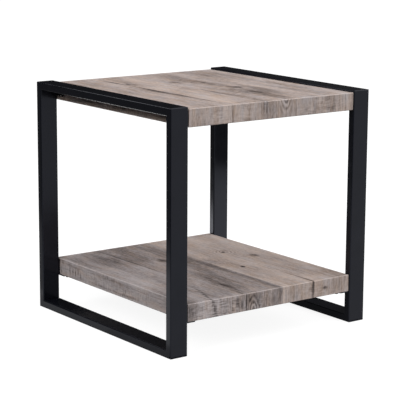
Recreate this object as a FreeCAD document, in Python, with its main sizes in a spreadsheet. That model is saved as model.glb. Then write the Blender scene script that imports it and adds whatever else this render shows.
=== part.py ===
import FreeCAD, Part
import math
import os
import Sketcher

# End table with a low shelf: two welded loops of rectangular steel tube carry two thick
# folded-edge panels between them. X runs across the table from loop to loop, Y from front
# (negative) to rear, Z up from the floor. The origin is on the floor, at the table's middle.

# Driving dimensions in millimetres, one sheet row each.
SIZES = {
    # whole table
    "overall_width": 612,
    "overall_depth": 600,
    "overall_height": 600,
    # tube of the end frames, wide side along X
    "tube_wide": 50,
    "tube_narrow": 20,
    "tube_wall": 1.5,
    "tube_radius": 3,
    "corner_ease": 2,
    # levels and insets of the two panels
    "top_drop": 5,
    "top_inset": 1,
    "top_thick": 44,
    "shelf_level": 127,
    "shelf_inset": 2.5,
    "shelf_thick": 44,
    # boards of a folded panel
    "board_thick": 12,
    "base_thick": 4,
    "fold_ease": 1,
    "rib_thick": 18,
    "rib_pitch": 140,
    "block_wide": 40,
    "block_deep": 62,
    # ear plates that hold the top, and L-brackets that carry the shelf
    "plate_thick": 2.5,
    "plate_corner": 4,
    "ear_reach": 22,
    "ear_drop": 10.5,
    "ear_margin": 8,
    "ear_weld": 11,
    "bracket_wide": 34,
    "bracket_hole_back": 23,
    "bracket_setback": 1.5,
    "bracket_flange": 26,
    "bracket_bend": 1,
    "bend_clearance": 0.5,
    "bracket_shy": 1,
    "bracket_hole": 19.5,
    # screws, washers and threaded inserts
    "screw_shank": 6,
    "screw_shy": 3.9,
    "screw_flats": 10,
    "screw_head_high": 4,
    "washer_wide": 12,
    "washer_thick": 1.6,
    "hole_clearance": 0.6,
    "insert_wide": 9,
    "insert_clearance": 0.2,
    "thread_clearance": 0.2,
}

RIB_COUNT = 3
QUARTER_TURN = 90.0
HALF_TURN = 180.0
MITRE_ANGLE = 45.0
HEXAGON = 6
CLOSE = 0.001

doc = FreeCAD.newDocument("end_table")
sheet = doc.addObject("Spreadsheet::Sheet", "Sizes")
for row, (alias, number) in enumerate(SIZES.items(), start=1):
    sheet.set(f"A{row}", str(number))
    sheet.setAlias(f"A{row}", alias)
doc.recompute()


class Size:
    """A length that carries its value and the sheet expression that gives it."""

    def __init__(self, value, text):
        self.value = float(value)
        self.text = text

    def __add__(self, other):
        other = to_size(other)
        return Size(self.value + other.value, f"({self.text} + {other.text})")

    def __sub__(self, other):
        other = to_size(other)
        return Size(self.value - other.value, f"({self.text} - {other.text})")

    def __mul__(self, factor):
        return Size(self.value * factor, f"({self.text} * {factor!r})")

    def __truediv__(self, divisor):
        return Size(self.value / divisor, f"({self.text} / {divisor!r})")

    def __neg__(self):
        return Size(-self.value, f"(0 - {self.text})")


def to_size(number):
    """A plain number as a size; a size stays as it is."""
    return number if isinstance(number, Size) else Size(number, repr(number))


def driving(alias):
    """The size in the sheet's row of that name."""
    return Size(sheet.get(alias), f"Sizes.{alias}")


# Places and sizes that several pieces share.
tube_wide = driving("tube_wide")
tube_narrow = driving("tube_narrow")
board_thick = driving("board_thick")
base_thick = driving("base_thick")
plate_thick = driving("plate_thick")
washer_thick = driving("washer_thick")
half_depth = driving("overall_depth") / 2
height = driving("overall_height")
loop_middle = driving("overall_width") / 2 - tube_wide / 2
post_inner = driving("overall_width") / 2 - tube_wide
panel_half = post_inner - plate_thick
top_bottom = height - driving("top_drop") - driving("top_thick")
top_half_depth = half_depth - driving("top_inset")
shelf_bottom = driving("shelf_level") - driving("shelf_thick")
shelf_half_depth = half_depth - driving("shelf_inset")
ear_y = half_depth - tube_narrow - driving("ear_reach")
ear_z = height - tube_narrow - driving("ear_drop")
bottom_arris = driving("bracket_bend") + driving("bend_clearance")
bracket_edge = shelf_half_depth - driving("bracket_setback")
bracket_y = bracket_edge - driving("bracket_hole_back")
bracket_x = panel_half - driving("bracket_hole")
clearance_hole = driving("screw_shank") + driving("hole_clearance")
insert_hole = driving("insert_wide") + driving("insert_clearance")
insert_long = board_thick - driving("insert_clearance")
screw_long = washer_thick + plate_thick + insert_long - driving("screw_shy")

sub_parts = []


def bind(feature, prop, size):
    """Tie one property of a feature to the sheet."""
    feature.setExpression(prop, to_size(size).text)


def add_body(label, x=0, y=0, z=0, turn=0.0, axis=(0, 0, 1)):
    """A new sub-part whose own frame stands at x, y, z, turned about an axis."""
    body = doc.addObject("PartDesign::Body", label)
    body.Label = label
    body.Placement.Rotation = FreeCAD.Rotation(FreeCAD.Vector(*axis), turn)
    for name, size in zip("xyz", (x, y, z)):
        bind(body, f"Placement.Base.{name}", size)
    sub_parts.append(body)
    return body


def origin_feature(body, role):
    """A plane or axis of the body's own origin."""
    return next(item for item in body.Origin.OriginFeatures if item.Role == role)


def add_sketch(body, plane, x=0, y=0, z=0):
    """A sketch on one of the body's origin planes, its origin moved in the sketch's own axes."""
    sketch = body.newObject("Sketcher::SketchObject", f"{body.Label}_sketch")
    sketch.AttachmentSupport = [(origin_feature(body, plane), "")]
    sketch.MapMode = "FlatFace"
    for name, size in zip("xyz", (x, y, z)):
        bind(sketch, f"AttachmentOffset.Base.{name}", size)
    return sketch


def constrain(sketch, kind, reference, size):
    """Add one measured constraint and tie it to the sheet."""
    size = to_size(size)
    index = sketch.addConstraint(Sketcher.Constraint(kind, *reference, size.value))
    bind(sketch, f"Constraints[{index}]", size)


def hold_point(sketch, edge, end, point):
    """Fix a point of a sketch edge by its distances from the sketch's origin."""
    for kind, size in zip(("DistanceX", "DistanceY"), point):
        constrain(sketch, kind, (-1, 1, edge, end), size)


def to_vector(point):
    return FreeCAD.Vector(*(to_size(size).value for size in point))


def outline(sketch, points):
    """A closed outline of straight edges through the points."""
    vectors = [to_vector(point) for point in points]
    edges = [
        sketch.addGeometry(Part.LineSegment(start, finish))
        for start, finish in zip(vectors, vectors[1:] + vectors[:1])
    ]
    for edge, follower in zip(edges, edges[1:] + edges[:1]):
        sketch.addConstraint(Sketcher.Constraint("Coincident", edge, 2, follower, 1))
    for edge, point in zip(edges, points):
        hold_point(sketch, edge, 1, point)


def rectangle(sketch, left, right, low, high):
    outline(sketch, [(left, low), (right, low), (right, high), (left, high)])


def rounded_rectangle(sketch, left, right, low, high, radius):
    """A rectangle whose corners are quarter arcs."""
    corners = [(left, low), (right, low), (right, high), (left, high)]
    inward = [(1, 1), (-1, 1), (-1, -1), (1, -1)]
    quarter = math.pi / 2
    arcs = []
    for number, ((x, y), (way_x, way_y)) in enumerate(zip(corners, inward)):
        centre = (to_size(x) + radius * way_x, to_size(y) + radius * way_y)
        whole = Part.Circle(to_vector(centre), FreeCAD.Vector(0, 0, 1), radius.value)
        start = quarter * (number + 2)
        arcs.append(sketch.addGeometry(Part.ArcOfCircle(whole, start, start + quarter)))
        hold_point(sketch, arcs[-1], 3, centre)
        constrain(sketch, "Radius", (arcs[-1],), radius)
    for arc, follower in zip(arcs, arcs[1:] + arcs[:1]):
        ends = sketch.getPoint(arc, 2), sketch.getPoint(follower, 1)
        side = sketch.addGeometry(Part.LineSegment(*ends))
        sketch.addConstraint(Sketcher.Constraint("Tangent", arc, 2, side, 1))
        sketch.addConstraint(Sketcher.Constraint("Tangent", side, 2, follower, 1))


def circle(sketch, centre, diameter):
    normal = FreeCAD.Vector(0, 0, 1)
    edge = sketch.addGeometry(Part.Circle(to_vector(centre), normal, diameter.value / 2))
    hold_point(sketch, edge, 3, centre)
    constrain(sketch, "Diameter", (edge,), diameter)


def pad(body, sketch, length, side="One side", flip=False, taper=0.0):
    """Raise a sketch along its normal; a taper draws the sides in as it rises."""
    feature = body.newObject("PartDesign::Pad", f"{body.Label}_pad")
    feature.Profile = sketch
    feature.SideType = side
    feature.Reversed = flip
    feature.TaperAngle = -taper
    bind(feature, "Length", length)
    doc.recompute()


def cut(body, sketch, depth=None, flip=False):
    """Cut a sketch out of the body: both ways right through, or to a depth."""
    volume = body.Shape.Volume
    feature = body.newObject("PartDesign::Pocket", f"{body.Label}_cut")
    feature.Profile = sketch
    if depth is None:
        feature.Type = "ThroughAll"
        feature.SideType = "Symmetric"
    else:
        feature.Reversed = flip
        bind(feature, "Length", depth)
    doc.recompute()
    if not body.Shape.Volume < volume:
        raise RuntimeError(f"a cut in {body.Label} removes nothing")


def runs_along(direction, **place):
    """A test for straight edges along an axis whose middle has the given coordinates."""
    def chosen(edge):
        box = edge.BoundBox
        spans = {"x": box.XLength, "y": box.YLength, "z": box.ZLength}
        others = [span for axis, span in spans.items() if axis != direction]
        middle = edge.CenterOfMass
        misses = [abs(getattr(middle, axis) - to_size(size).value) for axis, size in place.items()]
        return max(others + misses) < CLOSE
    return chosen


def dress_edges(body, chosen, kind, measure, size):
    """Round or chamfer each edge of the body that the test picks."""
    base = body.Tip
    edges = enumerate(base.Shape.Edges, start=1)
    names = [f"Edge{number}" for number, edge in edges if chosen(edge)]
    feature = body.newObject(f"PartDesign::{kind}", f"{body.Label}_{kind.lower()}")
    feature.Base = (base, names)
    bind(feature, measure, size)
    doc.recompute()


def round_edges(body, chosen, radius):
    dress_edges(body, chosen, "Fillet", "Radius", radius)


def clip_edges(body, chosen, size):
    dress_edges(body, chosen, "Chamfer", "Size", size)


def repeat_along(body, axis, span):
    """A second copy of the whole body, a span further along one of its axes."""
    feature = body.newObject("PartDesign::LinearPattern", f"{body.Label}_pair")
    feature.TransformMode = "Whole shape"
    feature.Direction = (origin_feature(body, axis), [""])
    feature.Occurrences = 2
    bind(feature, "Length", span)
    body.Tip = feature
    doc.recompute()


def mirror_across(body, plane):
    """A mirrored copy of the whole body across one of its planes."""
    feature = body.newObject("PartDesign::Mirrored", f"{body.Label}_mirrored")
    feature.TransformMode = "Whole shape"
    feature.MirrorPlane = (origin_feature(body, plane), [""])
    body.Tip = feature
    doc.recompute()


def make_tube(label, length, **place):
    """One side of a loop: a hollow tube along Z, outer face at Y = 0, both ends mitred.

    The loop's outer corners are eased, as ground welds leave them.
    """
    wall = driving("tube_wall")
    ease = driving("corner_ease")
    body = add_body(label, **place)
    section = add_sketch(body, "XY_Plane")
    side = tube_wide / 2
    rounded_rectangle(section, -side, side, 0, tube_narrow, driving("tube_radius"))
    rectangle(section, wall - side, side - wall, wall, tube_narrow - wall)
    pad(body, section, length)
    mitres = add_sketch(body, "YZ_Plane")
    inside = tube_narrow * 2
    outline(mitres, [
        (-wall, -wall), (inside, -wall), (inside, inside), (ease / 2, ease / 2), (-wall, ease + wall),
    ])
    outline(mitres, [
        (-wall, length + wall), (-wall, length - ease - wall), (ease / 2, length - ease / 2),
        (inside, length - inside), (inside, length + wall),
    ])
    cut(body, mitres)


def make_loop(side, x):
    """Four mitred tubes that close one end frame."""
    depth = driving("overall_depth")
    make_tube(f"{side}_front_post", height, x=x, y=-half_depth)
    make_tube(f"{side}_rear_post", height, x=x, y=half_depth, turn=HALF_TURN)
    along_x = (1, 0, 0)
    make_tube(f"{side}_bottom_rail", depth, x=x, y=half_depth, turn=QUARTER_TURN, axis=along_x)
    make_tube(f"{side}_top_rail", depth, x=x, y=-half_depth, z=height, turn=-QUARTER_TURN, axis=along_x)


def make_ear(label, x, y, turn):
    """Plate on a rail's inner face that hangs below it, holed for a screw into the top's end."""
    margin = driving("ear_margin")
    body = add_body(label, x=x, y=y, z=ear_z, turn=turn)
    plate = add_sketch(body, "YZ_Plane")
    behind_post = driving("ear_reach") + tube_narrow - driving("tube_radius")
    weld_top = driving("ear_drop") + driving("ear_weld")
    rectangle(plate, -behind_post, margin, -margin, weld_top)
    circle(plate, (0, 0), clearance_hole)
    pad(body, plate, plate_thick, side="Symmetric")
    clip_edges(body, runs_along("x", y=margin), driving("plate_corner"))


def make_bracket(label, x, y, turn, outward):
    """Bent angle: its leg stands between post and shelf end, its wider flange under the shelf.

    Outward is the way along the bracket's own Y that leads out of the table. The leg is cut back
    on the other side, flush with the post, so that it doesn't show beside the shelf's end.
    """
    bend = driving("bracket_bend")
    leg = driving("shelf_thick") - driving("bracket_shy")
    reach = plate_thick + driving("bracket_flange")
    wide = driving("bracket_wide")
    edge = driving("bracket_hole_back")
    leg_wide = tube_narrow - half_depth + bracket_edge
    body = add_body(label, x=x, y=y, z=shelf_bottom, turn=turn)
    angle = add_sketch(body, "XZ_Plane", z=edge * -outward)
    corner = [(reach, 0), (plate_thick, 0), (plate_thick, leg)]
    outline(angle, [(0, -plate_thick), (reach, -plate_thick), *corner, (0, leg)])
    pad(body, angle, wide, flip=outward < 0)
    round_edges(body, runs_along("y", x=0, z=-plate_thick), bend + plate_thick)
    round_edges(body, runs_along("y", x=plate_thick, z=0), bend)
    clip_edges(body, runs_along("z", x=reach), driving("plate_corner"))
    beside = add_sketch(body, "YZ_Plane")
    near, far = (edge - leg_wide) * outward, (edge - wide - plate_thick) * outward
    rectangle(beside, near, far, plate_thick * -2, leg + plate_thick)
    cut(body, beside, depth=plate_thick + bend, flip=True)
    hole = add_sketch(body, "XY_Plane")
    circle(hole, (plate_thick + driving("bracket_hole"), 0), clearance_hole)
    cut(body, hole)


def make_edge_board(label, z, turn, half_length, face, thick, drilled=None):
    """A panel's edge board: outer face at Y = -face, mitred at its top and at both ends."""
    ease = driving("fold_ease")
    body = add_body(label, z=z, turn=turn)
    section = add_sketch(body, "YZ_Plane")
    inner = board_thick - face
    outline(section, [
        (bottom_arris - face, 0), (inner, 0), (inner, thick - board_thick),
        (ease / 2 - face, thick - ease / 2), (-face, thick - ease), (-face, bottom_arris),
    ])
    pad(body, section, half_length * 2, side="Symmetric")
    mitres = add_sketch(body, "XY_Plane")
    inside = board_thick * 2
    for way in (-1, 1):
        outline(mitres, [
            ((half_length + ease) * way, -face - ease),
            ((half_length + ease) * way, inside - face),
            ((half_length - inside) * way, inside - face),
        ])
    cut(body, mitres)
    if drilled:
        across, up = drilled
        holes = add_sketch(body, "XZ_Plane")
        for way in (-1, 1):
            circle(holes, (across * way, up), insert_hole)
        cut(body, holes)


def make_face_board(label, z, half_deep, thick):
    """A panel's face: mitred all round underneath, its fold edges eased."""
    ease = driving("fold_ease") / 2
    body = add_body(label, z=z)
    for length, down in ((ease, False), (board_thick - ease, True)):
        sketch = add_sketch(body, "XY_Plane", z=thick - ease)
        side, front = panel_half - ease, half_deep - ease
        rectangle(sketch, -side, side, -front, front)
        pad(body, sketch, length, flip=down, taper=MITRE_ANGLE)


def make_base_board(label, z, half_deep, drilled):
    """The thin board that closes a panel underneath, let in between its edge boards."""
    body = add_body(label, z=z)
    sketch = add_sketch(body, "XY_Plane")
    side, front = panel_half - board_thick, half_deep - board_thick
    rectangle(sketch, -side, side, -front, front)
    if drilled:
        for way_x in (-1, 1):
            for way_y in (-1, 1):
                circle(sketch, (bracket_x * way_x, bracket_y * way_y), insert_hole)
    pad(body, sketch, base_thick)


def make_ribs(label, z, core):
    """Cross ribs that hold a panel's face off its base."""
    body = add_body(label, z=z)
    sketch = add_sketch(body, "XY_Plane", z=base_thick)
    side = panel_half - board_thick
    half_rib = driving("rib_thick") / 2
    for number in range(RIB_COUNT):
        middle = driving("rib_pitch") * (number - (RIB_COUNT - 1) / 2)
        rectangle(sketch, -side, side, middle - half_rib, middle + half_rib)
    pad(body, sketch, core)


def make_corner_blocks(label, z, half_deep, core, drilled):
    """Solid blocks in a panel's four corners, drilled from below where brackets hold it."""
    body = add_body(label, z=z)
    sketch = add_sketch(body, "XY_Plane", z=base_thick)
    left, low = board_thick - panel_half, board_thick - half_deep
    rectangle(sketch, left, left + driving("block_wide"), low, low + driving("block_deep"))
    pad(body, sketch, core)
    if drilled:
        hole = add_sketch(body, "XY_Plane")
        circle(hole, (-bracket_x, -bracket_y), insert_hole)
        cut(body, hole, depth=insert_long + driving("insert_clearance"), flip=True)
    mirror_across(body, "XZ_Plane")
    mirror_across(body, "YZ_Plane")


def make_panel(name, z, half_deep, thick, end_holes=None):
    """A folded panel, held by screws into its ends where they have holes, and else from below."""
    core = thick - board_thick - base_thick
    from_below = end_holes is None
    make_face_board(f"{name}_face_board", z, half_deep, thick)
    make_base_board(f"{name}_base_board", z, half_deep, from_below)
    make_edge_board(f"{name}_front_edge", z, 0.0, panel_half, half_deep, thick)
    make_edge_board(f"{name}_rear_edge", z, HALF_TURN, panel_half, half_deep, thick)
    make_edge_board(f"{name}_left_edge", z, -QUARTER_TURN, half_deep, panel_half, thick, end_holes)
    make_edge_board(f"{name}_right_edge", z, QUARTER_TURN, half_deep, panel_half, thick, end_holes)
    make_ribs(f"{name}_ribs", z, core)
    make_corner_blocks(f"{name}_corner_blocks", z, half_deep, core, from_below)


def make_fasteners(name, place, at, seat, mirror_plane):
    """Screws, washers and inserts, four of each, along the Z of a frame set by the place.

    The first stands at x, y = at, its plate's outer face at z = seat. The others follow by
    a copy to the far side along Y and a mirrored pair across the table.
    """
    under_head = seat - washer_thick
    threaded = driving("screw_shank") + driving("thread_clearance")
    groups = {
        "screws": lambda body: add_screw(body, at, under_head),
        "washers": lambda body: add_ring(
            body, at, under_head, washer_thick, driving("washer_wide"), clearance_hole),
        "inserts": lambda body: add_ring(
            body, at, seat + plate_thick, insert_long, driving("insert_wide"), threaded),
    }
    for kind, add_first in groups.items():
        body = add_body(f"{name}_{kind}", **place)
        add_first(body)
        repeat_along(body, "Y_Axis", -at[1] * 2)
        mirror_across(body, mirror_plane)


def add_screw(body, at, z):
    """Hexagon-head screw, its head's underside at z and its shank upwards."""
    x, y = at
    high = driving("screw_head_high")
    corner = driving("screw_flats") / math.sqrt(3)
    angles = [2 * math.pi * number / HEXAGON for number in range(HEXAGON)]
    head = add_sketch(body, "XY_Plane", x=x, y=y, z=z - high)
    outline(head, [(corner * math.cos(angle), corner * math.sin(angle)) for angle in angles])
    pad(body, head, high)
    shank = add_sketch(body, "XY_Plane", x=x, y=y, z=z)
    circle(shank, (0, 0), driving("screw_shank"))
    pad(body, shank, screw_long)


def add_ring(body, at, z, length, wide, bore):
    """A plain sleeve or washer that stands on z."""
    x, y = at
    ring = add_sketch(body, "XY_Plane", x=x, y=y, z=z)
    circle(ring, (0, 0), wide)
    circle(ring, (0, 0), bore)
    pad(body, ring, length)


for side, way in (("left", -1), ("right", 1)):
    make_loop(side, loop_middle * way)
    ear_x = (post_inner - plate_thick / 2) * way
    make_ear(f"{side}_front_ear", ear_x, -ear_y, turn=0.0)
    make_ear(f"{side}_rear_ear", ear_x, ear_y, turn=HALF_TURN)
    inward = 0.0 if side == "left" else HALF_TURN
    make_bracket(f"{side}_front_bracket", post_inner * way, -bracket_y, turn=inward, outward=way)
    make_bracket(f"{side}_rear_bracket", post_inner * way, bracket_y, turn=inward, outward=-way)

make_panel("top", top_bottom, top_half_depth, driving("top_thick"), (ear_y, ear_z - top_bottom))
make_panel("shelf", shelf_bottom, shelf_half_depth, driving("shelf_thick"))
make_fasteners("ear", {"z": ear_z, "turn": QUARTER_TURN, "axis": (0, 1, 0)},
               (to_size(0), -ear_y), -post_inner, "XY_Plane")
make_fasteners("bracket", {"z": shelf_bottom - plate_thick},
               (-bracket_x, -bracket_y), to_size(0), "YZ_Plane")

doc.recompute()
failed = [item.Label for item in doc.Objects if {"Invalid", "Error"} & set(item.State)]
failed += [body.Label for body in sub_parts if body.Shape.isNull() or not body.Shape.isValid()]
if failed:
    raise RuntimeError(f"not built: {failed}")

os.makedirs("parts", exist_ok=True)
for body in sub_parts:
    body.Shape.exportStep(f"parts/{body.Label}.step")
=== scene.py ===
import bpy
from mathutils import Matrix, Vector


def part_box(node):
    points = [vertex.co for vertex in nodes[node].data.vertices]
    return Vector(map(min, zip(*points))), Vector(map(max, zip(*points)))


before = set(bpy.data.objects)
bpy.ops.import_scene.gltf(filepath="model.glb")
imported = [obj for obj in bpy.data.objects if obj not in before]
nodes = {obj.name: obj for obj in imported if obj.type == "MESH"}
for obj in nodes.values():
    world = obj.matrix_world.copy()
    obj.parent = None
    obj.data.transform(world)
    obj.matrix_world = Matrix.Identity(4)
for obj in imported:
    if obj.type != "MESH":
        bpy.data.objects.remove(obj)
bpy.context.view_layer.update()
scene = bpy.context.scene

# The photograph's camera: its place in metres, its axes, its lens and sensor in millimetres, and
# how far it sees, in metres.
CAMERA_PLACE = Vector((-2.4330, -3.2884, 1.1237))
CAMERA_RIGHT = Vector((0.80446, -0.59398, 0.00536))
CAMERA_UP = Vector((0.11282, 0.16164, 0.98038))
CAMERA_LENS = 145.19
SENSOR_WIDE = 36.0
VIEW_END = 100.0

# The studio dome: where it is brightest, above and beside the table, and how its brightness rises
# towards each: from and to which cosine, and from and to which brightness.
OVERHEAD = (-0.12, -0.3, 0.95)
OVERHEAD_RISE = (0.25, 0.85, 0.0, 1.06)
FRONT_RIGHT = (0.58, -0.79, -0.2)
FRONT_RIGHT_RISE = (-0.4, 0.9, 0.01, 0.475)

# Soft round lights: place and aim in metres, width in metres and power in watts.
LIGHTS = {
    "left_fill": ((-2.9, -0.9, 2.1), (0, 0, 0.2), 1.6, 48),
    "right_fill": ((3.4, 0.3, 1.9), (0, 0, 0.1), 2.0, 55),
}

# The floor that the camera sees: half its width in metres, its whiteness and its glow, which
# keeps the table's shadow faint. All that is stage has one roughness.
FLOOR_HALF = 40
FLOOR_WHITE = 0.2
FLOOR_GLOW = 0.9
STAGE_ROUGHNESS = 0.9

# Heights of what lies on the floor, in metres: of two sheets that overlap, the higher one shows.
LOW = 0.0002
MIDDLE = 0.0004
HIGH = 0.0006


def level(left, right, front, rear, height):
    """The corners of a level rectangle."""
    return [(left, front, height), (right, front, height),
            (right, rear, height), (left, rear, height)]


# Sheets that show only in reflections, above all in the steel: corners in metres and brightness.
# Paper lies on a dim floor in front of the table, beside it and behind it, with shade under the
# table. The rear card draws the line under the left top rail, and the softbox the one along its
# upper edge. A black flag stands at the right.
SHEETS = {
    "dim_floor": (level(-4, 0.3, -0.28, 5, LOW), 0.1),
    "front_paper": (level(-1, 5, -6, -0.305, LOW), 0.68),
    "left_paper": (level(-1.1, -0.37, -0.28, 0.44, MIDDLE), 0.82),
    "near_front_paper": (level(-0.37, -0.309, -0.28, 0.0, MIDDLE), 0.37),
    "near_rear_paper": (level(-0.37, -0.309, 0.0, 0.44, MIDDLE), 0.5),
    "far_left_paper": (level(-0.95, -0.309, 0.44, 1.2, MIDDLE), 0.38),
    "rear_paper": (level(-0.309, 0.26, 0.31, 1.42, MIDDLE), 1.36),
    "right_paper": ([(0.31, 0.05, MIDDLE), (1.02, -0.92, MIDDLE), (1.32, -0.92, MIDDLE),
                     (0.6, 0.5, MIDDLE), (0.31, 0.5, MIDDLE)], 1.28),
    "rear_card": (level(-0.309, 0.2, 0.5, 1.2, HIGH), 2.8),
    "shade": (level(-0.31, 0.31, -0.31, 0.31, HIGH), 0.13),
    "flag": ([(0.5, -0.3, 0.25), (0.5, 0.25, 0.25), (0.5, 0.25, 0.6), (0.5, -0.3, 0.6)], 0.11),
    "softbox": ([(-1.1, 1.3, 1.2), (-0.6, 1.3, 1.2), (-0.6, 1.3, 1.75), (-1.1, 1.3, 1.75)], 2.2),
}

# The printed wood, in millimetres on the panel's unfolded sheet: u across the table from its
# middle, v along the grain from its middle to the rear. Past the front edge v goes on down the
# front, and past the left edge u goes on down the left end. A plank is (left edge, darkness,
# warmth). Stains are broad and soft, and some of them are painted shade on the left ends; cracks
# follow the grain and knots are crisp: (u, v, half width, half length, darkness), pale where
# negative. Sawn patches, with saw marks across the grain, have a strength instead of the
# darkness. A figure is a set of growth rings: (u, v, half width, half length, ring pitch,
# darkness, v of its rear end).
PRINTS = {
    "top": {
        "planks": [
            (-400, 0.37, 0.5), (-131, 0.33, 0.6), (-34, 0.36, 0.5), (70, 0.36, 0.45),
            (124, 0.36, 0.45), (176, 0.31, 0.45),
        ],
        "stains_and_painted_shade": [
            # Face
            (-120, 145, 14, 26, 0.28), (70, 235, 32, 80, 0.18), (-72, 245, 34, 70, -0.14),
            (72, 170, 30, 60, 0.08), (-2, 115, 28, 30, 0.2), (64, 100, 28, 50, 0.16),
            (72, 30, 32, 70, 0.26), (18, 40, 22, 90, -0.14), (64, -45, 40, 50, 0.2),
            (66, -122, 56, 80, 0.42), (60, -200, 48, 90, 0.26), (190, 170, 50, 130, 0.18),
            (-21, -170, 12, 120, 0.3), (-60, -200, 26, 120, -0.1), (-82, -200, 44, 130, -0.12),
            (-200, 60, 30, 90, 0.06), (195, -190, 60, 90, -0.09),
            # Front edge
            (-190, -322, 70, 30, -0.12), (-90, -322, 50, 30, -0.18), (-14, -318, 20, 60, 0.1),
            (36, -318, 24, 30, 0.1), (155, -325, 30, 26, 0.12), (208, -322, 30, 26, 0.12),
            # Left end: the first is painted shade under the left top rail, darker towards the
            # bottom
            (-290, 0, 24, 500, 0.24), (-256, 0, 10, 500, -0.1),
        ],
        "cracks": [
            # Face
            (-136, 205, 6, 70, 0.5), (-134, 60, 5, 90, 0.15), (-138, -5, 12, 60, 0.42),
            (-132, -85, 10, 70, 0.36), (-131, -200, 5, 90, 0.24), (-28, -100, 6, 70, 0.24),
            (80, -60, 5, 30, 0.2), (64, -150, 5, 50, 0.2), (205, 75, 8, 50, 0.12),
            # Front edge
            (-126, -318, 1.6, 50, 0.6), (-32, -300, 2, 70, 0.35), (-22, -320, 2.5, 30, 0.15),
            (118, -322, 5, 40, -0.2), (228, -320, 2, 30, 0.25),
            # Left end
            (-276, 210, 5, 34, 0.4), (-285, 140, 4, 34, 0.35), (-275, 70, 5, 34, 0.35),
            (-284, -20, 5, 40, 0.3), (-277, -110, 5, 40, 0.35), (-286, -200, 5, 40, 0.3),
        ],
        "knots": [
            # Face
            (80, -50, 14, 16, 0.62), (70, -28, 9, 12, 0.36), (66, -72, 8, 11, -0.24),
            (-122, 148, 6, 9, 0.4), (-8, 117, 12, 10, 0.25),
            # Front edge
            (188, -332, 7, 6, 0.2),
        ],
        "sawn": [
            # Front edge
            (200, -325, 70, 40, 0.5), (-200, -325, 60, 40, 0.4),
        ],
        "figures": [
            (37, -283, 30, 66, 7.5, 0.6, -294), (66, -120, 50, 200, 9, 0.1, 100),
        ],
    },
    "shelf": {
        "planks": [
            (-400, 0.33, 0.1), (-254, 0.4, 0.1), (-122.5, 0.43, 0.25), (36, 0.19, 0.6),
            (137, 0.2, 0.55),
        ],
        "stains_and_painted_shade": [
            # Face
            (-150, 190, 44, 110, 0.2), (-205, 215, 60, 110, 0.2), (-150, 275, 60, 40, 0.16),
            (-60, 250, 80, 90, 0.2), (-66, 140, 50, 40, 0.16), (-45, 100, 18, 26, 0.2),
            (-222, -60, 34, 150, -0.19), (10, 60, 34, 260, 0.16), (10, -190, 30, 150, 0.1),
            (-50, -160, 44, 150, 0.2), (60, 5, 22, 50, 0.18), (190, -210, 64, 130, 0.22),
            (228, -262, 46, 60, 0.26), (44, 120, 16, 120, 0.14), (100, 200, 30, 60, 0.12),
            (170, 170, 20, 70, 0.1), (215, -60, 30, 70, 0.08), (108, -150, 28, 80, 0.1),
            (232, 120, 20, 70, 0.08), (-20, -205, 420, 130, 0.09),
            # Front edge
            (-240, -322, 22, 30, 0.14), (-98, -322, 18, 28, 0.18), (-54, -308, 26, 20, 0.28),
            (-40, -325, 36, 26, 0.1), (29, -322, 8, 40, 0.22), (90, -322, 60, 28, 0.14),
            (200, -322, 70, 28, 0.2),
            # Left end: the second is painted shade beside the rear left post, reaching onto the
            # face
            (-278, 140, 40, 130, -0.1), (-278, 300, 50, 34, 0.4),
        ],
        "cracks": [
            # Face
            (-125, 110, 5, 170, 0.4), (-10, 240, 8, 60, 0.12), (25, -20, 11, 120, 0.14),
            (25, -240, 11, 120, 0.12), (125, -30, 4, 20, 0.25), (131, -120, 3, 60, 0.35),
            (136, -215, 4, 60, 0.42), (-62, -100, 4, 60, 0.16), (-72, -215, 10, 70, 0.22),
            (-46, -220, 9, 60, 0.14), (-84, -280, 8, 40, 0.2), (-153, -203, 3, 16, 0.5),
            (-160, -226, 3, 16, 0.5), (-168, -248, 3.5, 16, 0.5), (-175, -270, 4, 14, 0.45),
            (-181, -293, 4.5, 13, 0.5), (90, -66, 3, 26, 0.2),
            # Front edge
            (136, -300, 4.5, 66, 0.7), (-163, -314, 5, 26, -0.22), (-190, -318, 5, 24, -0.15),
            (-77, -320, 2.4, 36, 0.6), (11, -322, 3, 34, 0.25), (41, -322, 1.6, 60, -0.25),
            # Left end
            (-263, 230, 3, 50, 0.2), (-264, 0, 2.5, 70, 0.15), (-266, -120, 3, 70, 0.15),
            (-288, 70, 4, 60, 0.25), (-290, -40, 5, 60, 0.3),
        ],
        "knots": [
            # Face
            (141, 84, 7, 8, 0.65), (150, 100, 16, 14, 0.14), (190, 12, 14, 18, 0.5),
            (86, -73, 5.5, 9, 0.85), (-48, 100, 16, 20, 0.28), (-165, -35, 7, 10, 0.16),
            # Front edge
            (-179, -308, 4, 9, 0.3), (-172, -322, 5, 11, 0.32), (-168, -335, 5, 7, 0.2),
            (175, -321, 9, 5, 0.5), (-104, -314, 5, 14, 0.3), (-90, -326, 4, 12, 0.3),
            # Left end
            (-278, 230, 12, 2.6, 0.5), (-276, 215, 13, 2.6, 0.4), (-279, 203, 11, 2.6, 0.5),
            (-275, 190, 12, 2.6, 0.35), (-281, 178, 9, 2.6, 0.35), (-276, 148, 11, 2.4, 0.15),
            (-273, 110, 12, 2.4, 0.15), (-279, 56, 10, 2.4, 0.12), (-272, -5, 11, 2.4, 0.15),
        ],
        "sawn": [
            # Face
            (-190, -230, 80, 80, 0.7),
            # Front edge
            (-170, -330, 100, 60, 1.5),
            # Left end
            (-290, 60, 40, 200, 0.8),
        ],
        "figures": [
            # Face
            (-60, -200, 40, 160, 9, 0.1, 0), (145, 88, 38, 44, 9, 0.5, 400),
            # Front edge
            (-55, -341, 26, 54, 7.5, 0.5, -284),
        ],
    },
}

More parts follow.
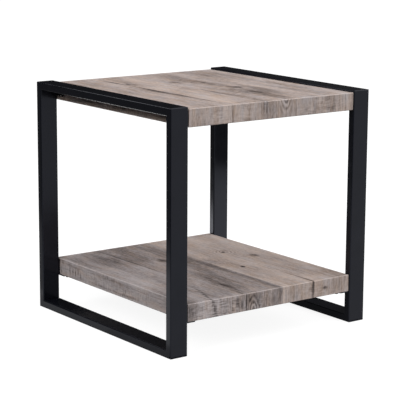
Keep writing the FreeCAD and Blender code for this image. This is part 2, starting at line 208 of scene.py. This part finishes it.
# Spots of each kind: how far their edges stray across and along the grain, in millimetres, and the
# share of their half size within which they are full. At SPOT_END half sizes they have faded out.
SPOTS = {
    "stains_and_painted_shade": ((16, 50, 0), 0.0),
    "cracks": ((5, 20, 0), 0.1),
    "knots": ((5, 9, 0), 0.3),
    "sawn": ((16, 50, 0), 0.3),
}
SPOT_END = 1.3

# Growth rings: how far they stray and the length over which a figure's rear end sets in, both in
# millimetres, the share of a figure that is full, and a full turn of their wave in radians.
RING_STRAY = (6, 20, 0)
RING_START = 8
RING_CORE = 0.3
FULL_TURN = 6.283

# Planks are looked up between these places on both sides of the middle, and each takes its grain
# from another stretch of the noises. Both are in millimetres.
PLANK_REACH = 400
PLANK_SHIFT = 4000

# The levels that noise has: the mean, and where most of it lies.
NOISE_MEAN = 0.5
NOISE_SPAN = (0.3, 0.7)

# Noises of the grain: lumps in millimetres across it, along it and from plank to plank, octaves
# and roughness.
NOISES = {
    "clouds": ((55, 260, 1), 3.0, 0.55),
    "streaks": ((7, 170, 1), 3.0, 0.6),
    "fibres": ((2.4, 60, 1), 2.0, 0.6),
    "dashes": ((3.2, 13, 1), 2.0, 0.6),
    "pores": ((1.4, 18, 1), 1.0, 0.55),
    "sawn": ((120, 160, 1), 1.0, 0.55),
    "saw_marks": ((24, 3.4, 1), 1.0, 0.55),
    "tints": ((16, 60, 1), 3.0, 0.6),
}

# Noises that move places: lumps in millimetres, octaves, and for the grain's bends their reach.
BEND_LUMPS = (60, 140, 60)
BEND_OCTAVES = 2.0
BEND_REACH = (12, 30, 0)
WARP_LUMPS = (14, 40, 1)
WARP_OCTAVES = 3.0

# The levels of noise between which pores and sawn wood set in and the pale line along the fold
# shows: partly wear, partly a painted highlight.
PORES_START = (0.6, 0.72)
SAWN_START = (0.45, 0.62)
FOLD_WEAR_AND_HIGHLIGHT_START = (0.3, 0.6)

# How much each darkens the print, or for tints how much it warms it, and the share of the fibres
# that sawn wood keeps.
WEIGHTS = {
    "clouds": 1.0, "streaks": 0.6, "fibres": 0.7, "dashes": 0.7, "pores": 0.12, "sawn": -0.4,
    "saw_marks": 0.8, "fold_wear_and_highlight": -0.42, "tints": 2.2,
}
SAWN_FIBRES = 0.4

# The print's colours from pale to dark, where it is cool and where it is warm.
COOL = [(0.0, (193, 185, 185)), (0.3, (171, 162, 162)), (0.55, (141, 132, 131)),
        (0.8, (101, 93, 92)), (1.0, (61, 54, 53))]
WARM = [(0.0, (202, 182, 169)), (0.3, (180, 159, 146)), (0.55, (148, 128, 115)),
        (0.8, (106, 91, 82)), (1.0, (62, 52, 47))]

# The printed sheet's roughness, from one level of the fibres' noise to another and from which
# value to which, its gloss, and its relief's depth in metres and strength. The fold is pale,
# partly rubbed and partly a painted highlight: the distances from it, in metres, where that ends
# and where it is full.
SHEET_ROUGHNESS = (0.2, 0.8, 0.62, 0.5)
SHEET_SPECULAR = 0.35
SHEET_RELIEF = (0.0002, 0.3)
FOLD_WEAR_AND_HIGHLIGHT_REACH = (0.0022, 0.0006)

# Millimetres in a metre.
MILLIMETRES = 1000

# The steel's gloss and its cool tint, and the backing paper's colours from dark to light.
COAT_SPECULAR = 0.35
COAT_TINT = (0.8, 0.84, 1.0, 1.0)
BACKING = [(0.3, (58, 50, 45)), (0.55, (78, 69, 62)), (0.75, (96, 86, 78))]

# The way in which the sheet is folded down on each board of a panel.
FOLDS = {
    "face_board": (0, 0, 0),
    "front_edge": (0, -1, 0),
    "rear_edge": (0, 1, 0),
    "left_edge": (-1, 0, 0),
    "right_edge": (1, 0, 0),
}


class Graph:
    """Short ways to add shader nodes to one tree."""

    def __init__(self, tree):
        self.tree = tree

    def feed(self, socket, value):
        """Link a socket, or set its constant."""
        if isinstance(value, bpy.types.NodeSocket):
            self.tree.links.new(value, socket)
        else:
            socket.default_value = value

    def add(self, kind, inputs=None, **settings):
        """A new node with its settings made and its inputs fed."""
        node = self.tree.nodes.new(f"ShaderNode{kind}")
        for name, value in settings.items():
            setattr(node, name, value)
        for name, value in (inputs or {}).items():
            self.feed(node.inputs[name], value)
        return node

    def math(self, operation, *values):
        node = self.add("Math", operation=operation)
        for socket, value in zip(node.inputs, values):
            self.feed(socket, value)
        return node.outputs[0]

    def vector(self, operation, *values):
        node = self.add("VectorMath", operation=operation)
        for socket, value in zip(node.inputs, values):
            self.feed(socket, value)
        return node.outputs["Value" if operation in ("LENGTH", "DOT_PRODUCT") else "Vector"]

    def ease(self, value, start, finish, low=0.0, high=1.0, kind="SMOOTHSTEP"):
        """A step, smooth unless kind says otherwise, from low at start to high at finish."""
        node = self.add("MapRange", interpolation_type=kind)
        for socket, number in zip(node.inputs, (value, start, finish, low, high)):
            self.feed(socket, number)
        return node.outputs["Result"]

    def noise(self, vector, lumps, octaves=2.0, roughness=0.55):
        """Even noise about 0.5 whose lumps have that size along each axis."""
        scaled = self.vector("DIVIDE", vector, lumps)
        inputs = {"Vector": scaled, "Scale": 1.0, "Detail": octaves, "Roughness": roughness}
        return self.add("TexNoise", inputs).outputs["Fac"]

    def drift(self, vector, lumps, octaves):
        """Noise in three channels about 0.5, to move places with."""
        scaled = self.vector("DIVIDE", vector, lumps)
        inputs = {"Vector": scaled, "Scale": 1.0, "Detail": octaves}
        return self.add("TexNoise", inputs).outputs["Color"]

    def ramp(self, value, stops, interpolation="LINEAR"):
        """A colour for each value. All stops get their places before any gets its colour."""
        node = self.add("ValToRGB", {"Fac": value})
        node.color_ramp.interpolation = interpolation
        elements = node.color_ramp.elements
        while len(elements) < len(stops):
            elements.new(1.0)
        for element, (place, colour) in zip(elements, stops):
            element.position = place
        for element, (place, colour) in zip(elements, stops):
            element.color = colour
        return node.outputs["Color"]

    def total(self, *terms):
        result = terms[0]
        for term in terms[1:]:
            result = self.math("ADD", result, term)
        return result


def srgb(red, green, blue):
    """A colour in the usual 0 to 255 numbers, as the linear colour that shaders use."""
    def to_linear(number):
        share = number / 255.0
        return share / 12.92 if share <= 0.04045 else ((share + 0.055) / 1.055) ** 2.4
    return (to_linear(red), to_linear(green), to_linear(blue), 1.0)


def shades(stops):
    """A ramp's stops with their colours made linear."""
    return [(place, srgb(*colour)) for place, colour in stops]


def cube(size):
    """Lumps of one size along all axes."""
    return (size, size, size)


def new_material(name):
    material = bpy.data.materials.new(name)
    material.use_nodes = True
    graph = Graph(material.node_tree)
    shader = material.node_tree.nodes["Principled BSDF"]
    return material, graph, shader


def bump(graph, shader, height, distance, strength):
    node = graph.add("Bump", {"Height": height, "Distance": distance, "Strength": strength})
    graph.feed(shader.inputs["Normal"], node.outputs["Normal"])


def socket_named(sockets, identifier):
    """One of the Mix node's sockets, whose plain names repeat."""
    return next(socket for socket in sockets if socket.identifier == identifier)


def plank_grain(graph, place, planks):
    """Each plank's darkness and warmth, and the bent places where it takes its grain from."""
    across = graph.ease(place["X"], -PLANK_REACH, PLANK_REACH, kind="LINEAR")
    stops = [((left + PLANK_REACH) / (2 * PLANK_REACH), (tone, warmth, number / len(planks), 1))
             for number, (left, tone, warmth) in enumerate(planks)]
    plank = graph.add("SeparateColor", {"Color": graph.ramp(across, stops, "CONSTANT")}).outputs
    shift = graph.math("MULTIPLY", plank["Blue"], PLANK_SHIFT)
    along = graph.math("ADD", place["Y"], shift)
    grain = graph.add("CombineXYZ", {"X": place["X"], "Y": along, "Z": shift}).outputs["Vector"]
    bend = graph.vector("MULTIPLY", graph.drift(grain, BEND_LUMPS, BEND_OCTAVES), BEND_REACH)
    return plank["Red"], plank["Green"], graph.vector("ADD", grain, bend)


def strayed(graph, sheet, warp, reach):
    """Places on the sheet moved by the warp, so that the edges drawn there follow the grain."""
    return graph.vector("ADD", sheet, graph.vector("MULTIPLY", warp, reach))


def spots(graph, sheet, warp, kind, listed):
    """The summed darkness of ellipses, full within their core and fading out past their edge."""
    reach, core = SPOTS[kind]
    moved = strayed(graph, sheet, warp, reach)
    amount = 0.0
    for u, v, wide, long, darkness in listed:
        offset = graph.vector("SUBTRACT", moved, (u, v, 0))
        distance = graph.vector("LENGTH", graph.vector("DIVIDE", offset, (wide, long, 1)))
        spot = graph.ease(distance, SPOT_END, core, 0.0, darkness)
        amount = graph.math("ADD", spot, amount)
    return amount


def growth_rings(graph, sheet, along, warp, figures):
    """The summed darkness of the figures' rings, which fade out and end at the rear."""
    moved = strayed(graph, sheet, warp, RING_STRAY)
    amount = 0.0
    for u, v, wide, long, pitch, darkness, rear in figures:
        offset = graph.vector("SUBTRACT", moved, (u, v, 0))
        distance = graph.vector("LENGTH", graph.vector("MULTIPLY", offset, (1, wide / long, 1)))
        wave = graph.math("SINE", graph.math("MULTIPLY", distance, FULL_TURN / pitch))
        fade = graph.ease(distance, wide, wide * RING_CORE, 0.0, darkness / 2)
        ahead = graph.ease(along, rear, rear - RING_START)
        amount = graph.math("MULTIPLY_ADD", wave, graph.math("MULTIPLY", fade, ahead), amount)
    return amount


def print_group(name, print_):
    """The printed sheet as a node group: unfolded place in, colour, roughness and height out."""
    tree = bpy.data.node_groups.new(f"{name}_print", "ShaderNodeTree")
    tree.interface.new_socket("Sheet", in_out="INPUT", socket_type="NodeSocketVector")
    tree.interface.new_socket("Crease", in_out="INPUT", socket_type="NodeSocketFloat")
    tree.interface.new_socket("Color", in_out="OUTPUT", socket_type="NodeSocketColor")
    for output in ("Roughness", "Height"):
        tree.interface.new_socket(output, in_out="OUTPUT", socket_type="NodeSocketFloat")
    graph = Graph(tree)
    given = tree.nodes.new("NodeGroupInput").outputs
    sheet = given["Sheet"]
    place = graph.add("SeparateXYZ", {"Vector": sheet}).outputs
    tone, plank_warmth, grain = plank_grain(graph, place, print_["planks"])

    def grain_noise(kind):
        return graph.noise(grain, *NOISES[kind])

    def weighed(value, kind):
        return graph.math("MULTIPLY", value, WEIGHTS[kind])

    def about_zero(value, kind):
        return weighed(graph.math("SUBTRACT", value, NOISE_MEAN), kind)

    # The grain, from broad clouds to pores.
    clouds = grain_noise("clouds")
    streaks = grain_noise("streaks")
    fibres = grain_noise("fibres")
    dashes = grain_noise("dashes")
    pores = graph.ease(grain_noise("pores"), *PORES_START)

    # What keeps its place on the sheet, with painted shade among the stains.
    warp = graph.vector("SUBTRACT", graph.drift(sheet, WARP_LUMPS, WARP_OCTAVES), cube(NOISE_MEAN))
    stains_and_painted_shade = spots(graph, sheet, warp, "stains_and_painted_shade", print_["stains_and_painted_shade"])
    cracks = spots(graph, sheet, warp, "cracks", print_["cracks"])
    knots = spots(graph, sheet, warp, "knots", print_["knots"])
    rings = growth_rings(graph, sheet, place["Y"], warp, print_["figures"])

    # Sawn wood, in patches at listed places and at others that the noise gives.
    sawn = graph.ease(grain_noise("sawn"), *SAWN_START)
    sawn = graph.math("MAXIMUM", sawn, spots(graph, sheet, warp, "sawn", print_["sawn"]))
    saw_marks = graph.math("MULTIPLY", sawn, grain_noise("saw_marks"))
    fibres_left = graph.ease(sawn, 0.0, 1.0, 1.0, SAWN_FIBRES)

    # Streaks break the cracks up, and dashes the pale line along the fold, which is partly wear
    # and partly a painted highlight.
    broken_cracks = graph.math("MULTIPLY", cracks, graph.math("ADD", streaks, NOISE_MEAN))
    fold_wear_and_highlight = graph.ease(dashes, *FOLD_WEAR_AND_HIGHLIGHT_START, 0.0, WEIGHTS["fold_wear_and_highlight"])
    darkness = graph.total(
        tone, about_zero(clouds, "clouds"), about_zero(streaks, "streaks"),
        graph.math("MULTIPLY", about_zero(fibres, "fibres"), fibres_left),
        about_zero(dashes, "dashes"), weighed(saw_marks, "saw_marks"), weighed(sawn, "sawn"),
        weighed(pores, "pores"), stains_and_painted_shade, knots, broken_cracks, rings,
        graph.math("MULTIPLY", given["Crease"], fold_wear_and_highlight))
    cool = graph.ramp(darkness, shades(COOL))
    warm = graph.ramp(darkness, shades(WARM))
    warmth = graph.total(plank_warmth, about_zero(grain_noise("tints"), "tints"))
    colour = graph.add("Mix", data_type="RGBA", clamp_factor=True)
    for socket, value in (("Factor_Float", warmth), ("A_Color", cool), ("B_Color", warm)):
        graph.feed(socket_named(colour.inputs, socket), value)

    output = tree.nodes.new("NodeGroupOutput").inputs
    graph.feed(output["Color"], socket_named(colour.outputs, "Result_Color"))
    graph.feed(output["Roughness"], graph.ease(fibres, *SHEET_ROUGHNESS))
    graph.feed(output["Height"], graph.math("SUBTRACT", fibres, pores))
    return tree


def print_material(panel, board, group, corner, fold):
    """The print on one board, unfolded about the panel's top edge, which is pale: partly rubbed,
    partly a painted highlight.
    """
    material, graph, shader = new_material(f"{panel}_{board}")
    place = graph.add("TexCoord").outputs["Object"]
    axes = graph.add("SeparateXYZ", {"Vector": place}).outputs
    drop = graph.math("SUBTRACT", corner.z, axes["Z"])
    inside = [graph.math("SUBTRACT", half, graph.math("ABSOLUTE", axes[axis]))
              for axis, half in (("X", corner.x), ("Y", corner.y))]
    from_fold = graph.math("ADD", drop, graph.math("MINIMUM", *inside))
    slide = graph.vector("SCALE", fold)
    graph.feed(slide.node.inputs["Scale"], drop)
    unfolded = graph.vector("ADD", place, slide)
    in_millimetres = graph.vector("MULTIPLY", unfolded, (MILLIMETRES, MILLIMETRES, 0))
    sheet = graph.add("Group", node_tree=group)
    graph.feed(sheet.inputs["Sheet"], in_millimetres)
    graph.feed(sheet.inputs["Crease"], graph.ease(from_fold, *FOLD_WEAR_AND_HIGHLIGHT_REACH))
    graph.feed(shader.inputs["Base Color"], sheet.outputs["Color"])
    graph.feed(shader.inputs["Roughness"], sheet.outputs["Roughness"])
    shader.inputs["Specular IOR Level"].default_value = SHEET_SPECULAR
    bump(graph, shader, sheet.outputs["Height"], *SHEET_RELIEF)
    return material


def two_tone(graph, noise, dark, light):
    """A colour from dark to light over most levels of the noise."""
    return graph.ramp(noise, shades(zip(NOISE_SPAN, (dark, light))))


def roughen(graph, shader, noise, low, high):
    """Roughness from low to high over most levels of the noise."""
    graph.feed(shader.inputs["Roughness"], graph.ease(noise, *NOISE_SPAN, low, high))


def powder_coat():
    """Satin black powder coat: a slight orange peel and faint cloudiness."""
    peel_lump = 0.0016
    haze_lump = 0.05
    material, graph, shader = new_material("powder_coat")
    place = graph.add("TexCoord").outputs["Object"]
    peel = graph.noise(place, cube(peel_lump), octaves=2.0)
    haze = graph.noise(place, cube(haze_lump), octaves=3.0)
    colour = two_tone(graph, haze, dark=(12, 13, 18), light=(17, 18, 24))
    graph.feed(shader.inputs["Base Color"], colour)
    roughen(graph, shader, haze, low=0.17, high=0.23)
    shader.inputs["Specular IOR Level"].default_value = COAT_SPECULAR
    shader.inputs["Specular Tint"].default_value = COAT_TINT
    bump(graph, shader, peel, distance=0.0001, strength=0.25)
    return material


def backing_paper():
    """Matt grey-brown backing paper under the panels, with its fine felted fibres."""
    felt_lump = 0.002
    felt_share = 0.6
    patch_lump = 0.06
    patch_share = 0.4
    material, graph, shader = new_material("backing")
    place = graph.add("TexCoord").outputs["Object"]
    felt = graph.noise(place, cube(felt_lump), octaves=4.0, roughness=0.7)
    patches = graph.noise(place, cube(patch_lump), octaves=3.0)
    patches_part = graph.math("MULTIPLY", patches, patch_share)
    mixed = graph.math("MULTIPLY_ADD", felt, felt_share, patches_part)
    graph.feed(shader.inputs["Base Color"], graph.ramp(mixed, shades(BACKING)))
    roughen(graph, shader, felt, low=0.75, high=0.9)
    bump(graph, shader, felt, distance=0.0003, strength=0.4)
    return material


def core_wood():
    """Pale sawn softwood inside the panels."""
    lines_lump = (0.12, 0.004, 0.006)
    material, graph, shader = new_material("core_wood")
    place = graph.add("TexCoord").outputs["Object"]
    lines = graph.noise(place, lines_lump, octaves=4.0, roughness=0.6)
    colour = two_tone(graph, lines, dark=(168, 134, 92), light=(214, 186, 142))
    graph.feed(shader.inputs["Base Color"], colour)
    roughen(graph, shader, lines, low=0.8, high=0.65)
    bump(graph, shader, lines, distance=0.0003, strength=0.3)
    return material


def plated_metal(name, dark, light, metallic):
    """Plated fasteners: uneven tone and small spots of dullness."""
    dull_lump = 0.002
    material, graph, shader = new_material(name)
    place = graph.add("TexCoord").outputs["Object"]
    dull = graph.noise(place, cube(dull_lump), octaves=3.0, roughness=0.6)
    graph.feed(shader.inputs["Base Color"], two_tone(graph, dull, dark, light))
    roughen(graph, shader, dull, low=0.28, high=0.45)
    shader.inputs["Metallic"].default_value = metallic
    bump(graph, shader, dull, distance=0.0001, strength=0.2)
    return material


def dress(node, material):
    """Put one material on a CAD node."""
    node.data.materials.clear()
    node.data.materials.append(material)


def dress_all():
    coat = powder_coat()
    metals = {
        "screws": plated_metal("black_screw", dark=(34, 34, 36), light=(58, 58, 60), metallic=0.8),
        "inserts": plated_metal("insert_metal", dark=(150, 140, 112), light=(190, 178, 146),
                                metallic=1.0),
    }
    metals["washers"] = metals["screws"]
    plain = {"base_board": backing_paper(), "ribs": core_wood()}
    plain["corner_blocks"] = plain["ribs"]
    for panel, print_ in PRINTS.items():
        group = print_group(panel, print_)
        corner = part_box(f"{panel}_face_board")[1]
        for board, fold in FOLDS.items():
            dress(nodes[f"{panel}_{board}"], print_material(panel, board, group, corner, fold))
        for board, material in plain.items():
            dress(nodes[f"{panel}_{board}"], material)
    for name, node in nodes.items():
        kind = name.split("_")[-1]
        if kind in ("post", "rail", "ear", "bracket"):
            dress(node, coat)
        elif kind in metals:
            dress(node, metals[kind])


def add_camera():
    data = bpy.data.cameras.new("camera")
    data.sensor_fit = "HORIZONTAL"
    data.sensor_width = SENSOR_WIDE
    data.lens = CAMERA_LENS
    data.clip_end = VIEW_END
    camera = bpy.data.objects.new("camera", data)
    turn = Matrix((CAMERA_RIGHT, CAMERA_UP, CAMERA_RIGHT.cross(CAMERA_UP))).transposed()
    camera.matrix_world = Matrix.Translation(CAMERA_PLACE) @ turn.to_4x4()
    scene.collection.objects.link(camera)
    scene.camera = camera


def add_sheet(name, corners, white, glow):
    """A flat stage sheet of some whiteness that glows."""
    mesh = bpy.data.meshes.new(name)
    mesh.from_pydata(corners, [], [range(len(corners))])
    material, graph, shader = new_material(name)
    shader.inputs["Base Color"].default_value = (white, white, white, 1)
    shader.inputs["Roughness"].default_value = STAGE_ROUGHNESS
    shader.inputs["Specular IOR Level"].default_value = 0.0
    shader.inputs["Emission Color"].default_value = (1.0, 1.0, 1.0, 1.0)
    shader.inputs["Emission Strength"].default_value = glow
    mesh.materials.append(material)
    sheet = bpy.data.objects.new(name, mesh)
    scene.collection.objects.link(sheet)
    return sheet


def add_floor():
    """The floor, which reflections don't show, and the sheets, which only they show."""
    corners = level(-FLOOR_HALF, FLOOR_HALF, -FLOOR_HALF, FLOOR_HALF, 0)
    floor = add_sheet("floor", corners, FLOOR_WHITE, FLOOR_GLOW)
    floor.visible_diffuse = False
    floor.visible_glossy = False
    for name, (corners, glow) in SHEETS.items():
        sheet = add_sheet(name, corners, 0.0, glow)
        sheet.visible_camera = False
        sheet.visible_diffuse = False
        sheet.visible_shadow = False


def add_sky():
    """A studio dome: bright overhead, dim near the horizon, and dimmer on the left and behind."""
    world = bpy.data.worlds.new("studio")
    scene.world = world
    world.use_nodes = True
    graph = Graph(world.node_tree)
    way = graph.add("TexCoord").outputs["Generated"]
    overhead = graph.ease(graph.vector("DOT_PRODUCT", way, OVERHEAD), *OVERHEAD_RISE)
    sides = graph.ease(graph.vector("DOT_PRODUCT", way, FRONT_RIGHT), *FRONT_RIGHT_RISE)
    background = world.node_tree.nodes["Background"]
    background.inputs["Color"].default_value = (1.0, 1.0, 1.0, 1.0)
    graph.feed(background.inputs["Strength"], graph.math("ADD", overhead, sides))


def add_light(name, place, aim, size, power):
    data = bpy.data.lights.new(name, "AREA")
    data.shape = "DISK"
    data.size = size
    data.energy = power
    light = bpy.data.objects.new(name, data)
    light.location = place
    light.rotation_euler = (Vector(aim) - Vector(place)).to_track_quat("-Z", "Y").to_euler()
    scene.collection.objects.link(light)


scene.view_settings.view_transform = "Standard"
dress_all()
add_camera()
add_floor()
add_sky()
for light_name, settings in LIGHTS.items():
    add_light(light_name, *settings)
